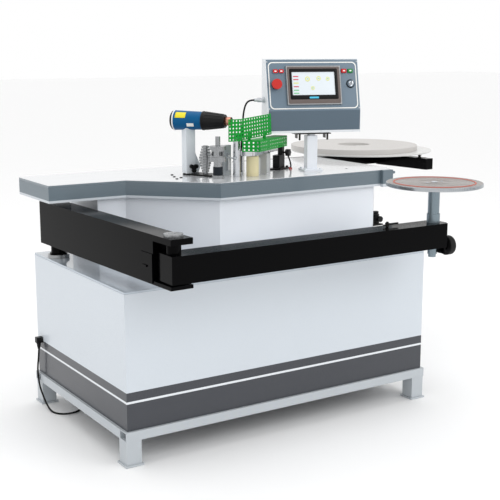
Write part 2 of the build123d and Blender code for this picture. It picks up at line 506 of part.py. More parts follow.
def head():
    start_x, start_y = HEAD_START
    plate = block(0, HEAD_LENGTH, -HEAD_HALF, HEAD_HALF, HEAD_LOW, HEAD_HIGH)
    plate += rod(0, 0, HEAD_LOW, HEAD_HIGH, HEAD_HALF)
    plate += block(178, 206, 0, 24, TABLE_TOP, HEAD_LOW)
    pillar = rod(38, -34, TABLE_TOP, HEAD_LOW, 4.5)
    standoffs = [along_head(start_x, start_y, rod(x, 0, HEAD_HIGH, GUARD_TOP - GUARD_T, 5)) for x in (90, 190)]
    save("head_plate", along_head(start_x, start_y, plate), pillar, *standoffs)
    cutter = along_head(155, -10, block(-16, 16, -14, 22, TABLE_TOP, HEAD_LOW - BEAD))
    valve = rod(104, -44, TABLE_TOP, 968, 5)
    save("cutter_block", cutter, valve)
    foot = along_head(*BRACKET, block(-58, 40, -32, 20, TABLE_TOP, TABLE_TOP + 5))
    bolts = [along_head(*BRACKET, rod(x, -24, TABLE_TOP + 5, TABLE_TOP + 11, 5)) for x in (-46, 30)]
    arm = along_head(*BRACKET, block(-26, 26, -15, 15, TABLE_TOP + 5, 956) + block(2, 22, -15, 5, 956, 996))
    arm -= along_head(*BRACKET, rod_y(12, -16, -2, KNOB_Z, 4.05))
    save("edge_bracket", foot + arm, *bolts)
    knob = rod_y(12, -28, -4, KNOB_Z, 4) + rod_y(12, -44, -28, KNOB_Z, 13)
    for index in range(6):
        turn = math.radians(60 * index)
        knob += rod_y(12 + 11 * math.cos(turn), -44, -28, KNOB_Z + 11 * math.sin(turn), 4)
    save("star_knob", along_head(*BRACKET, knob))
    gx, gy = GUIDES
    guide = block(gx - 19, gx + 14, gy - 4, gy + 14, TABLE_TOP, 1016)
    pin = rod(gx, gy - 12, 918, 984, 2.5)
    holders = [block(gx - 5, gx + 5, gy - 16, gy - 4, z, z + 5) for z in (917, 980)]
    handle = rod_y(gx - 15, -58, gy - 4, 972, 2.5) + Pos(gx - 15, -60, 972) * Sphere(6)
    save("guide_block", guide + holders + pin + handle)
    rollers = [ring(gx, gy - 12, 922.3 + 9.6 * level, 931.1 + 9.6 * level, 5, 2.5 + RUN_FIT) for level in range(6)]
    save("guide_rollers", *rollers)


def perforated(start, end, low, high, columns, rows, rise=0):
    """An upright sheet between two points, with a regular pattern of round holes; its far end may be raised."""
    length = math.hypot(end[0] - start[0], end[1] - start[1])
    angle = math.degrees(math.atan2(end[1] - start[1], end[0] - start[0]))
    sheet = block(0, length, 0, GUARD_T, low, high)
    pitch_x, pitch_z = length / columns, (high - low) / rows
    holes = []
    for column in range(columns):
        for row in range(rows):
            x, z = pitch_x * (column + 0.5), low + pitch_z * (row + 0.5)
            holes.append(rod_y(x, -1, GUARD_T + 1, z, 3.4))
    tilt = Pos(0, 0, low) * Rot(0, -math.degrees(math.atan2(rise, length)), 0) * Pos(0, 0, -low)
    return Pos(start[0], start[1], 0) * Rot(0, 0, angle) * tilt * (sheet - holes)


def guard():
    corner, end, rise = (4, -77), (174, -27), 12
    narrow = perforated((-53, -77), (3.8, -77), 1038, 1121, 4, 6)
    long_side = perforated(corner, end, 1040.2, 1121, 12, 6, rise)
    first = perforated((6, -79), (60, -120), GUARD_LOW, GUARD_TOP - GUARD_T, 4, 3)
    second = perforated((61, -120), (283, 24), GUARD_LOW, GUARD_TOP - GUARD_T, 15, 3)
    top = slab([(6, -78.5), (61, -119), (283, 25), (253, 70)], GUARD_TOP - GUARD_T, GUARD_TOP)
    along = math.degrees(math.atan2(end[1] - corner[1], end[0] - corner[0]))
    lugs = []
    for x in (50, 140):
        lug = block(x - 5, x + 5, GUARD_T, GUARD_T + 8, GUARD_TOP, GUARD_TOP + 28)
        lugs.append(Pos(corner[0], corner[1], 0) * Rot(0, 0, along) * lug)
    lugs.append(block(-2, 3.8, -75.5, -71, 1044, 1060) + block(3.8, 8, -74, -71, 1044, 1060))
    save("guard", narrow, long_side, first, second, top, *lugs)
    hose = [(300, 60, 976), (305, 50, 958), (313, 46, 936), (322, 50, 912), (323, 56, 905)]
    save("head_hose", cord_tube(hose, 3, "head_hose"), ring(323, 56, TABLE_TOP, 906, 7, 3.2))


# ---------------------------------------------------------------- tape reel
def reel():
    x, y = REEL
    beam = square_tube(300, 1040, y - 25, y + 25, BEAM_LOW, BEAM_HIGH, 4, "x")
    brackets = [block(bx, bx + 60, 395, y - 25, BEAM_LOW, BEAM_HIGH - 3) for bx in (340, 600)]
    hx, hy = GUIDE_HINGE
    ears = [block(1040, hx + 25, y - 25, y + 25, low, low + 8) for low in (BEAM_LOW, BEAM_HIGH - 8)]
    pin = rod(hx, hy, BEAM_LOW, BEAM_HIGH, 9.95)
    ears = [ear - rod(hx, hy, BEAM_LOW - 1, BEAM_HIGH + 1, 9.95) for ear in ears]
    seat = rod(x, y, BEAM_HIGH, TRAY_LOW - 8, 45)
    spindle = rod(x, y, TRAY_LOW - 8, TRAY_LOW + TRAY_T + 6, 12)
    save("reel_beam", beam, *brackets, *ears, pin, seat + spindle)
    tray = rod(x, y, TRAY_LOW, TRAY_LOW + TRAY_T, TRAY_R) + rod(x, y, TRAY_LOW - 8 + BEAD, TRAY_LOW, 38)
    tray += rod(x, y, TRAY_LOW + TRAY_T, TRAY_LOW + TRAY_T + 14, 26)
    save("reel_tray", tray - rod(x, y, TRAY_LOW - 9, TRAY_LOW + TRAY_T + 6.4, 12 + RUN_FIT))
    cx, cy = x + COIL_OFFSET[0], y + COIL_OFFSET[1]
    save("tape_coil", ring(cx, cy, TRAY_LOW + TRAY_T, TRAY_LOW + TRAY_T + TAPE_W, COIL_R, COIL_HOLE_R))


def guide_arm():
    hx, hy = GUIDE_HINGE
    place = Pos(hx, hy, 0) * Rot(0, 0, GUIDE_YAW)
    low, high = BEAM_LOW + 8 + BEAD, BEAM_HIGH - 8 - BEAD
    knuckle = rod(0, 0, low, high, 20) + block(0, 45, -14, 14, low, high)
    knuckle -= rod(0, 0, low - 1, high + 1, 10)
    beam = block(45, GUIDE_LENGTH - 36, -20, 20, BEAM_LOW, BEAM_HIGH)
    beam -= block(49, GUIDE_LENGTH - 40, -16, 16, BEAM_LOW + 4, BEAM_HIGH - 4)
    end = block(GUIDE_LENGTH - 36, GUIDE_LENGTH, -22, 22, BEAM_LOW, BEAM_HIGH - 1)
    roller_pin = rod(GUIDE_LENGTH - 60, 0, BEAM_HIGH, BEAM_HIGH + 12, 3)
    save("guide_arm", *[place * piece for piece in (knuckle, beam, end, roller_pin)])
    flange = Cone(5, 10, 5, align=(Align.CENTER, Align.CENTER, Align.MIN))
    foot = Cone(9, 5, 5.5, align=(Align.CENTER, Align.CENTER, Align.MIN))
    roller = Pos(GUIDE_LENGTH - 60, 0, BEAM_HIGH + BEAD) * (foot + Pos(0, 0, 5.5) * flange)
    roller -= rod(GUIDE_LENGTH - 60, 0, BEAM_HIGH, BEAM_HIGH + 13, 3 + RUN_FIT)
    save("tape_guide", place * roller)


# ---------------------------------------------------------------- services
def services():
    panel = block(-345, 40, 335, 338, 180, 540)
    feet = [block(-345, -325, 338, BASE_Y / 2 - SHEET, z, z + 25) for z in (200, 500)]
    devices = [block(x, x + 42, 262, 335, 400, 480) for x in (-320, -270, -220, -170)]
    drive = block(-100, 20, 262, 335, 300, 480)
    save("electric_panel", panel + feet, *devices, drive)
    mount = block(595, 618, -134, -116, 673, 700) + block(595, 646, -148, -102, 668, 674)
    body = rod(626, -125, 673, 712, 14)
    gauge = rod_y(630, -152, -130, 694, 12)
    save("air_regulator", mount + body + gauge - rod(626, -125, 706, 713, 5.05))
    knob = rod(626, -125, 712 + BEAD, 724, 11) + rod(626, -125, 706.5, 713, 5)
    save("regulator_knob", knob)
    relief = Cone(5, 9, 24.5, align=(Align.CENTER, Align.CENTER, Align.MIN))
    save("cord_gland", block(-676, -650, 342, 362, 252, 274) + Pos(-665, 352, 227.5) * relief)


def power_cord():
    save("power_cord", cord_tube(CORD_ROUTE, CORD_R, "power_cord"), cord_tube(PLUG_ROUTE, CORD_R, "plug_lead"))
    band = (COIL_ACROSS - 1) * COIL_PITCH / 2 + CORD_R
    height = (COIL_LAYERS - 1) * COIL_PITCH + 2 * CORD_R
    save("cord_coil", ring(*COIL, 0, height, COIL_TURN_R + band, COIL_TURN_R - band))
    end, before = Vector(*PLUG_ROUTE[-1]), Vector(*PLUG_ROUTE[-2])
    plug = Cone(8, 18, 26, align=(Align.CENTER, Align.CENTER, Align.MIN))
    plug += Pos(0, 0, 26) * Cylinder(18, 30, align=(Align.CENTER, Align.CENTER, Align.MIN))
    for index in range(3):
        turn = math.radians(90 + 120 * index)
        pin = Cylinder(2.4, 19, align=(Align.CENTER, Align.CENTER, Align.MIN))
        plug += Pos(9 * math.cos(turn), 9 * math.sin(turn), 56) * pin
    flat = Vector(end.X - before.X, end.Y - before.Y, 0)
    save("power_plug", Plane(origin=end, z_dir=flat) * plug)


os.makedirs("parts", exist_ok=True)
base_frame()
cabinet_panels()
rear_door()
cabinet_lid()
table()
arm_1()
arm_2()
support_disc()
control_box()
control_cable()
heat_gun()
press_tower()
drive_train()
head()
guard()
reel()
guide_arm()
services()
power_cord()
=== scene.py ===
import json
import math
import bpy
import bmesh
from mathutils import Euler, Matrix, Vector


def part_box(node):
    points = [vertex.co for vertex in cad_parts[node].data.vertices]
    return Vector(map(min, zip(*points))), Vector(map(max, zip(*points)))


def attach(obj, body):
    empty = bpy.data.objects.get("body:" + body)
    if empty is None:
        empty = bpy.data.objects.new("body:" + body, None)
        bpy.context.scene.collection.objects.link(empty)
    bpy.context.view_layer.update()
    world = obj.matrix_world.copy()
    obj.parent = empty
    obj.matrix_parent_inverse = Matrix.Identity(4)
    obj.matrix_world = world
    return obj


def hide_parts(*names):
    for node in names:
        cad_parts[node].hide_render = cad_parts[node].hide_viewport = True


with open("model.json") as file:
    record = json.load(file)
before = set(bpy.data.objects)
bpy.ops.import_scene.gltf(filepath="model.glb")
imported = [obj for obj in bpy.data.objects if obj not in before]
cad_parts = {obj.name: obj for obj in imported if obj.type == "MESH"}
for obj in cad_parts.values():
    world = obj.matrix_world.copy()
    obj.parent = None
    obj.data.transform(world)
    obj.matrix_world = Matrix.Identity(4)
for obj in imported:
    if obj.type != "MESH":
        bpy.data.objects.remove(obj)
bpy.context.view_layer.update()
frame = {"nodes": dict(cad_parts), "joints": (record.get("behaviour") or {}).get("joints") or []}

MM = 0.001
WELD_DISTANCE = 0.02       # corners nearer than this are one corner
SHARP_ANGLE = 35           # edges that turn more than this many degrees are rounded
NODES = frame["nodes"]
JOINTS = {joint["name"]: joint for joint in frame["joints"]}
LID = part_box("cabinet_lid")
# Middle of the base cabinet on the floor. Plain positions below are measured from it, as in part.py.
BASE = Vector(((LID[0][0] + LID[1][0]) / 2, (LID[0][1] + LID[1][1]) / 2, 0))
FROM_BASE = Matrix.Translation(BASE)


# ---------------------------------------------------------------- camera and cords
CAMERA_PLACE = Vector((-2.0543, -3.3334, 1.3859))     # metres
CAMERA_DOWN, CAMERA_RIGHT = 11.24, 32.77              # degrees below the horizon, and right of straight ahead

camera = bpy.data.objects.new("camera", bpy.data.cameras.new("camera"))
camera.data.lens = 73.58
camera.data.sensor_width = 36
camera.data.clip_end = 100
camera.location = BASE + CAMERA_PLACE
camera.rotation_euler = Euler((math.radians(90 - CAMERA_DOWN), 0, math.radians(-CAMERA_RIGHT)))
bpy.context.scene.collection.objects.link(camera)
bpy.context.scene.camera = camera


def nurbs(name, points, radius):
    """A round cord on a smooth line with these control points, in millimetres."""
    curve = bpy.data.curves.new(name, "CURVE")
    curve.dimensions = "3D"
    spline = curve.splines.new("NURBS")
    spline.points.add(len(points) - 1)
    for point, place in zip(spline.points, points):
        point.co = (*(BASE + Vector(place) * MM), 1)
    spline.order_u = 3
    spline.use_endpoint_u = True
    spline.resolution_u = 8
    curve.bevel_depth = radius * MM
    curve.bevel_resolution = 5
    curve.use_fill_caps = True
    piece = bpy.data.objects.new(name, curve)
    bpy.context.scene.collection.objects.link(piece)
    return piece


CORD_ROUTE = [(-665, 352, 227), (-666, 357, 190), (-668, 367, 145), (-667, 366, 105), (-668, 350, 72),
              (-668, 322, 46), (-669, 286, 22), (-668, 250, 5.5), (-664, 217, 3.5), (-645, 190, 3.5),
              (-612, 178, 3.5), (-575, 188, 3.5), (-551, 222, 3.5), (-541, 268, 3.5), (-538, 325, 3.5),
              (-527, 385, 3.5), (-502, 440, 3.5), (-466, 486, 3.5), (-449.3, 530, 3.5), (-449.3, 560, 3.5)]
PLUG_ROUTE = [(-371, 609.3, 9), (-346, 601, 7), (-327, 583, 11), (-315, 560, 18), (-307, 535, 18)]
COIL_CENTRE = (-400, 560)
COIL_OUTER, COIL_INNER = 49.3, 24.1        # radii of the widest and the narrowest turn
FLAT_TURNS, CLIMB_TURNS, COIL_TURNS = 3.5, 0.5, 7.25
POINTS_PER_TURN = 24
LOW_LAYER, HIGH_LAYER = 3.5, 10.7
CORD_R, HOSE_R = 3.5, 3


def coil_point(turns):
    """The coil winds in along the floor, climbs inside, and winds out on top of itself."""
    if turns < FLAT_TURNS:
        radius, z = COIL_OUTER - (COIL_OUTER - COIL_INNER) * turns / FLAT_TURNS, LOW_LAYER
    elif turns < FLAT_TURNS + CLIMB_TURNS:
        share = (turns - FLAT_TURNS) / CLIMB_TURNS
        radius = COIL_INNER - 0.8 * math.sin(math.pi * share)
        z = LOW_LAYER + (HIGH_LAYER - LOW_LAYER) * share * share * (3 - 2 * share)
    else:
        share = (turns - FLAT_TURNS - CLIMB_TURNS) / (COIL_TURNS - FLAT_TURNS - CLIMB_TURNS)
        radius, z = COIL_INNER + (COIL_OUTER - COIL_INNER) * share, HIGH_LAYER
    angle = math.pi - 2 * math.pi * turns
    return (COIL_CENTRE[0] + radius * math.cos(angle), COIL_CENTRE[1] + radius * math.sin(angle), z)


coil = [coil_point(step / POINTS_PER_TURN) for step in range(1, int(COIL_TURNS * POINTS_PER_TURN) + 1)]
power_cord = nurbs("mains_lead", CORD_ROUTE + coil + PLUG_ROUTE, CORD_R)
control_cable = nurbs("control_lead", [
    (141.2, 48.6, 1182), (120.4, 55, 1182), (108, 63, 1160), (104, 70, 1120), (105, 78, 1050),
    (103, 84, 975), (104, 86, 904)], CORD_R)
head_hose = nurbs("head_air_hose", [(300, 60, 976), (305, 50, 958), (313, 46, 936), (322, 50, 912),
                                    (323, 56, 905)], HOSE_R)
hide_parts("power_cord", "cord_coil")


# ---------------------------------------------------------------- materials
def srgb(*channels):
    """The colour that shows as these red, green and blue values of 0 to 255."""
    return tuple(((c / 255 + 0.055) / 1.055) ** 2.4 if c > 10 else c / 255 / 12.92 for c in channels) + (1,)


def darker(colour, share):
    return tuple(channel * (1 - share) for channel in colour[:3]) + (1,)


SHADE = (0.55, 0.57, 0.6, 1)               # what a banded colour is mixed towards
BAND_SCALE = 0.5                           # heights up to 2 m fit on the colour ramp


class Surface:
    """A procedural material: colour with slow variation, uneven roughness, and fine bump.

    A list of (height in metres, colour) gives a colour that changes at those heights above the floor.
    """

    def __init__(self, name, colour, rough=0.4, metal=0.0, coat=0.0, vary=0.04, grain=400.0, bump=0.05,
                 rough_vary=0.08, stretch=(1, 1, 1), specular=0.5):
        self.material = bpy.data.materials.new(name)
        self.material.use_nodes = True
        self.tree = self.material.node_tree
        self.nodes = self.tree.nodes
        self.shader = self.nodes["Principled BSDF"]
        self.put("Metallic", metal)
        self.put("Coat Weight", coat)
        self.put("Coat Roughness", 0.06)
        self.put("Specular IOR Level", specular)
        self.coords = self.new("ShaderNodeTexCoord").outputs["Object"]
        mapping = self.new("ShaderNodeMapping")
        mapping.inputs["Scale"].default_value = stretch
        self.link(self.coords, mapping.inputs["Vector"])
        fine = self.noise(mapping.outputs["Vector"], grain, 4)
        slow = self.noise(self.coords, 9.0, 3)
        if isinstance(colour, list):
            factor = self.ranged(slow, 0.0, 1.0, 0.0, 2.2 * vary)
            shade = self.mixed(factor, self.banded(colour), SHADE, "MULTIPLY")
        else:
            shade = self.mixed(slow, darker(colour, 2.2 * vary), colour)
        self.link(shade, self.shader.inputs["Base Color"])
        uneven = self.ranged(fine, 0.3, 0.7, max(0.02, rough - rough_vary), min(1, rough + rough_vary))
        self.link(uneven, self.shader.inputs["Roughness"])
        self.bump = self.new("ShaderNodeBump")
        self.bump.inputs["Strength"].default_value = bump
        self.bump.inputs["Distance"].default_value = 0.001
        self.link(fine, self.bump.inputs["Height"])
        self.link(self.bump.outputs["Normal"], self.shader.inputs["Normal"])

    def new(self, kind):
        return self.nodes.new(kind)

    def link(self, start, end):
        self.tree.links.new(start, end)

    def put(self, socket, value):
        self.shader.inputs[socket].default_value = value

    def noise(self, vector, scale, detail):
        node = self.new("ShaderNodeTexNoise")
        node.inputs["Scale"].default_value = scale
        node.inputs["Detail"].default_value = detail
        self.link(vector, node.inputs["Vector"])
        return node.outputs["Fac"]

    def line_noise(self, value, scale):
        """Noise along a line, for rings round an axis."""
        node = self.new("ShaderNodeTexNoise")
        node.noise_dimensions = "1D"
        node.inputs["Scale"].default_value = scale
        self.link(value, node.inputs["W"])
        return node.outputs["Fac"]

    def ranged(self, value, from_low, from_high, to_low, to_high):
        node = self.new("ShaderNodeMapRange")
        for socket, number in (("From Min", from_low), ("From Max", from_high), ("To Min", to_low),
                               ("To Max", to_high)):
            node.inputs[socket].default_value = number
        self.link(value, node.inputs["Value"])
        return node.outputs["Result"]

    def mixed(self, factor, first, second, blend="MIX"):
        """A mix from the first colour, which may be another node's, to the second."""
        node = self.new("ShaderNodeMix")
        node.data_type = "RGBA"
        node.blend_type = blend
        self.link(factor, node.inputs["Factor"])
        if isinstance(first, tuple):
            node.inputs["A"].default_value = first
        else:
            self.link(first, node.inputs["A"])
        node.inputs["B"].default_value = second
        return node.outputs["Result"]

    def vector_math(self, operation, value, other=None):
        node = self.new("ShaderNodeVectorMath")
        node.operation = operation
        self.link(value, node.inputs[0])
        if other is not None:
            node.inputs[1].default_value = other
        return node.outputs["Value" if operation == "LENGTH" else "Vector"]

    def banded(self, bands):
        split = self.new("ShaderNodeSeparateXYZ")
        self.link(self.coords, split.inputs["Vector"])
        ramp = self.new("ShaderNodeValToRGB")
        ramp.color_ramp.interpolation = "CONSTANT"
        scaled = self.new("ShaderNodeMath")
        scaled.operation = "MULTIPLY"
        scaled.inputs[1].default_value = BAND_SCALE
        self.link(split.outputs["Z"], scaled.inputs[0])
        self.link(scaled.outputs[0], ramp.inputs["Fac"])
        stops = ramp.color_ramp.elements
        while len(stops) < len(bands):
            stops.new(0.5)
        for stop, (height, colour) in zip(stops, bands):
            stop.position = height * BAND_SCALE
            stop.color = colour
        return ramp.outputs["Color"]


M = {}


def define(name, *args, **words):
    M[name] = Surface(name, *args, **words).material


def define_turned(name, colour, centre, rough, ridge, bump, metal=1.0, vary=0.12):
    """A surface with fine rings round an upright axis, as a lathe leaves them."""
    surface = Surface(name, colour, rough, metal=metal, vary=0.03, bump=bump)
    offset = surface.vector_math("SUBTRACT", surface.coords, centre)
    radius = surface.vector_math("LENGTH", surface.vector_math("MULTIPLY", offset, (1, 1, 0)))
    surface.link(surface.line_noise(radius, ridge), surface.bump.inputs["Height"])
    shade = surface.mixed(surface.line_noise(radius, ridge / 12), darker(colour, 2 * vary), colour)
    surface.link(shade, surface.shader.inputs["Base Color"])
    M[name] = surface.material


STRIPE, APRON = srgb(52, 55, 62), srgb(100, 114, 123)
define("panel_paint", [(0.0, STRIPE), (0.2125, srgb(226, 230, 234)), (0.2255, STRIPE),
                       (0.252, srgb(206, 213, 220))], 0.32, coat=0.25, vary=0.015, grain=900, bump=0.04)
define("white_paint", srgb(234, 238, 244), 0.35, coat=0.2, vary=0.015, grain=900, bump=0.05)
define("rail_paint", srgb(186, 192, 197), 0.4, coat=0.15, vary=0.03, grain=800, bump=0.06)
# Painted reflection: the lid is glossy white paint, and its colour here is the pale blue-grey that its
# reflection of the surroundings shows.
define("lid_painted_reflection", srgb(186, 196, 206), 0.12, coat=0.6, vary=0.02, grain=700, bump=0.02)
define("table_top", [(0.0, APRON), (0.8978, srgb(206, 208, 211))], 0.14, coat=0.5, vary=0.03, grain=250,
       bump=0.02)
define("apron_grey", [(0.0, srgb(200, 206, 212)), (0.8372, APRON)], 0.34, coat=0.2, vary=0.04, grain=700,
       bump=0.05)
define("black_gloss", srgb(3, 3, 4), 0.15, vary=0.1, grain=300, bump=0.02, specular=0.05, rough_vary=0.05)
define("black_satin", srgb(12, 12, 13), 0.42, vary=0.12, grain=900, bump=0.08, specular=0.25)
define("black_rubber", srgb(14, 14, 15), 0.6, vary=0.12, grain=1500, bump=0.15, specular=0.25)
define("post_paint", srgb(222, 228, 233), 0.35, coat=0.2, vary=0.02, grain=800, bump=0.05)
define("shell_paint", srgb(226, 230, 234), 0.34, coat=0.2, vary=0.02, grain=800, bump=0.05)
# Painted light: the control face is one blue. Above its bend at 1.1405 m, where it tilts up towards the
# light, it is painted lighter than below.
define("face_blue_painted_light", [(0.0, srgb(80, 98, 112)), (1.1405, srgb(98, 118, 134))], 0.36, coat=0.15, vary=0.03,
       grain=900, bump=0.05)
define("chrome", srgb(205, 208, 212), 0.12, metal=1.0, vary=0.04, grain=500, bump=0.02)
define("steel", srgb(164, 166, 168), 0.26, metal=1.0, vary=0.14, grain=300, bump=0.06, stretch=(1, 1, 8))
define("dark_steel", srgb(62, 60, 58), 0.3, metal=1.0, vary=0.12, grain=300, bump=0.06)
define("post_steel", srgb(136, 150, 158), 0.28, metal=0.9, vary=0.12, grain=60, bump=0.05,
       stretch=(1, 1, 0.15))
define("polished_plate", srgb(214, 216, 218), 0.13, metal=1.0, vary=0.06, grain=60, bump=0.02)
define("gun_blue", srgb(0, 88, 138), 0.34, specular=0.15, vary=0.06, grain=1500, bump=0.08)
define("gun_white", srgb(236, 238, 240), 0.35, vary=0.03, grain=900, bump=0.05)
define("label_yellow", srgb(232, 216, 14), 0.4, vary=0.03, grain=900, bump=0.02)
define("label_white", srgb(240, 240, 236), 0.45, vary=0.03, grain=900, bump=0.02)
define("label_cyan", srgb(64, 190, 226), 0.4, vary=0.03, grain=900, bump=0.02)
define("copper", srgb(208, 150, 128), 0.3, metal=0.9, vary=0.15, grain=120, bump=0.05)
define("estop_red", srgb(196, 36, 28), 0.34, specular=0.3, vary=0.04, grain=1200, bump=0.04)
define("lamp_red", srgb(196, 20, 24), 0.3, specular=0.3, vary=0.03, grain=800, bump=0.02)
define("button_green", srgb(12, 128, 52), 0.3, specular=0.3, vary=0.03, grain=800, bump=0.02)
define("bezel_silver", srgb(150, 152, 154), 0.3, metal=0.5, vary=0.03, grain=1200, bump=0.05)
define("screen_brown", srgb(96, 84, 80), 0.4, vary=0.06, grain=900, bump=0.03)
define("screen_black", srgb(8, 8, 9), 0.3, specular=0.15, vary=0.1, grain=900, bump=0.03)
define("screen_white", srgb(222, 230, 236), 0.2, coat=0.4, vary=0.02, grain=500, bump=0.01)
define("mark_red", srgb(206, 84, 100), 0.3, vary=0.03)
define("mark_green", srgb(120, 196, 140), 0.3, vary=0.03)
define("mark_yellow", srgb(222, 224, 130), 0.3, vary=0.03)
define("guard_green", srgb(0, 150, 48), 0.42, specular=0.2, vary=0.06, grain=700, bump=0.06)
define("head_grey", srgb(206, 208, 208), 0.35, metal=0.4, vary=0.06, grain=300, bump=0.05)
define("cream_rubber", srgb(230, 219, 176), 0.5, vary=0.06, grain=250, bump=0.08, stretch=(1, 1, 0.3))
define("nylon_white", srgb(236, 238, 238), 0.4, vary=0.04, grain=400, bump=0.04)
define("dark_rubber", srgb(22, 30, 38), 0.5, specular=0.25, vary=0.08, grain=700, bump=0.12)
define("tray_white", srgb(204, 204, 202), 0.3, coat=0.2, vary=0.02, grain=500, bump=0.03)
define("red_rubber", srgb(196, 84, 62), 0.45, vary=0.06, grain=600, bump=0.06)
define("red_fitting", srgb(214, 70, 66), 0.35, vary=0.05, grain=600, bump=0.04)
define("galvanised", srgb(196, 202, 206), 0.4, metal=0.6, vary=0.1, grain=60, bump=0.03)

disc_axis = Vector(JOINTS["disc_spin"]["pos_m"])
low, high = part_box("tape_coil")
tape_axis = (Vector(low) + Vector(high)) / 2
define_turned("disc_top", srgb(146, 138, 132), disc_axis, rough=0.26, ridge=1600, bump=0.35)
define_turned("disc_edge", srgb(190, 194, 198), disc_axis, rough=0.2, ridge=1200, bump=0.1)
define_turned("tape", srgb(196, 193, 190), tape_axis, rough=0.5, ridge=1400, bump=0.5, metal=0.0, vary=0.03)

# ---------------------------------------------------------------- CAD nodes that keep their shape
FINISH = {
    "base_frame": "rail_paint", "cabinet_panels": "panel_paint", "cabinet_lid": "lid_painted_reflection",
    "upper_cabinet": "white_paint", "table_plate": "table_top", "table_apron": "apron_grey",
    "rear_door": "panel_paint", "door_latch": "black_satin", "arm_pivot_flange": "steel",
    "arm_1_beam": "black_gloss", "elbow_pin": "steel", "arm_2_beam": "black_gloss",
    "disc_post": "post_steel", "hand_roller": "black_rubber", "lock_lever": "black_satin",
    "support_disc": "disc_top", "control_post": "white_paint", "swivel_plate": "dark_steel",
    "control_shell": "shell_paint", "control_face": "face_blue_painted_light", "touch_panel": "bezel_silver",
    "estop_button": "estop_red", "switch_key": "chrome", "button_stop": "lamp_red",
    "button_start": "button_green", "cable_gland": "chrome", "gun_base": "black_satin",
    "gun_post": "post_paint", "gun_body": "gun_blue", "gun_nozzle": "black_satin",
    "gun_knob": "black_satin", "press_tower": "steel", "finned_cone": "steel",
    "press_roller": "dark_rubber", "glue_roller": "chrome", "feed_roller": "cream_rubber",
    "gear_motor": "rail_paint", "motor_sprocket": "dark_steel", "drive_chain": "dark_steel",
    "head_plate": "polished_plate", "cutter_block": "head_grey", "edge_bracket": "black_satin",
    "star_knob": "black_satin", "guide_block": "galvanised", "guide_rollers": "nylon_white",
    "guard": "guard_green", "reel_beam": "black_gloss", "reel_tray": "tray_white",
    "tape_coil": "tape", "guide_arm": "black_gloss", "tape_guide": "dark_steel",
    "electric_panel": "galvanised", "air_regulator": "black_satin", "regulator_knob": "black_satin",
    "cord_gland": "black_satin", "power_plug": "black_rubber", "power_cord": "black_rubber",
    "cord_coil": "black_rubber", "control_cable": "black_rubber", "head_hose": "black_rubber",
}
PLAIN_BEVEL = 0.8
BEVELS = {"arm_1_beam": 3.0, "arm_2_beam": 3.5, "base_frame": 1.5, "cabinet_lid": 2.0,
          "touch_panel": 2.0, "estop_button": 3.5, "gun_post": 2.0, "guide_arm": 2.0, "reel_beam": 2.0,
          "control_post": 1.5, "hand_roller": 3.0, "gun_knob": 2.0, "star_knob": 1.5, "guard": 0.0,
          "gear_motor": 1.5, "press_tower": 0.6, "finned_cone": 0.4, "power_plug": 2.0, "button_stop": 1.5,
          "button_start": 1.5}


def add_bevel(piece, width, segments):
    bevel = piece.modifiers.new("bevel", "BEVEL")
    bevel.width = width * MM
    bevel.segments = segments
    bevel.limit_method = "ANGLE"
    bevel.angle_limit = math.radians(SHARP_ANGLE)


def add_even_normals(piece):
    normals = piece.modifiers.new("normals", "WEIGHTED_NORMAL")
    normals.keep_sharp = True


for name, node in NODES.items():
    node.data.materials.clear()
    node.data.materials.append(M[FINISH[name]])
    weld = node.modifiers.new("weld", "WELD")
    weld.merge_threshold = WELD_DISTANCE * MM
    width = BEVELS.get(name, PLAIN_BEVEL)
    if width:
        add_bevel(node, width, 2)
    add_even_normals(node)


# ---------------------------------------------------------------- piece builders
def finish_piece(name, mesh, material, body, slot, place=None, bevel=0.0, smooth=True):
    """Turns a bmesh in millimetres into a piece that rides on a body."""
    data = bpy.data.meshes.new(name)
    bmesh.ops.recalc_face_normals(mesh, faces=mesh.faces)
    mesh.transform(Matrix.Scale(MM, 4))
    if place is not None:
        mesh.transform(place)
    mesh.to_mesh(data)
    mesh.free()
    data.materials.append(M[material])
    for face in data.polygons:
        face.use_smooth = smooth
    piece = bpy.data.objects.new(name, data)
    bpy.context.scene.collection.objects.link(piece)
    if bevel:
        add_bevel(piece, bevel, 3)
    if smooth:
        add_even_normals(piece)
    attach(piece, body)
    return piece


def prism(outline, low, high, mesh=None):
    """A solid with the outline's shape between two heights, in a new mesh or added to one."""
    mesh = mesh or bmesh.new()
    bottom = [mesh.verts.new((x, y, low)) for x, y in outline]
    top = [mesh.verts.new((x, y, high)) for x, y in outline]
    mesh.faces.new(bottom[::-1])
    mesh.faces.new(top)
    for index in range(len(outline)):
        after = (index + 1) % len(outline)
        mesh.faces.new((bottom[index], bottom[after], top[after], top[index]))
    return mesh


def rounded(width, height, radius, centre, steps=6):
    """Outline of a rectangle with round corners."""
    points = []
    for quarter, (sx, sy) in enumerate(((1, 1), (-1, 1), (-1, -1), (1, -1))):
        for step in range(steps + 1):
            angle = math.radians(90 * quarter + 90 * step / steps)
            points.append((centre[0] + sx * (width / 2 - radius) + radius * math.cos(angle),
                           centre[1] + sy * (height / 2 - radius) + radius * math.sin(angle)))
    return points


def lathe(profile, x=0, y=0, steps=48, mesh=None):
    """A turned solid round the upright axis at x, y, from a closed profile of (radius, height)."""
    mesh = mesh or bmesh.new()
    rings = []
    for radius, height in profile:
        angles = [2 * math.pi * k / steps for k in range(steps)] if radius else [0]
        rings.append([mesh.verts.new((x + radius * math.cos(angle), y + radius * math.sin(angle), height))
                      for angle in angles])
    for first, second in zip(rings, rings[1:] + ([rings[0]] if len(rings[0]) > 1 else [])):
        for k in range(steps):
            after = (k + 1) % steps
            if len(first) == 1 and len(second) == 1:
                continue
            if len(first) == 1:
                mesh.faces.new((first[0], second[k], second[after]))
            elif len(second) == 1:
                mesh.faces.new((first[k], first[after], second[0]))
            else:
                mesh.faces.new((first[k], first[after], second[after], second[k]))
    return mesh


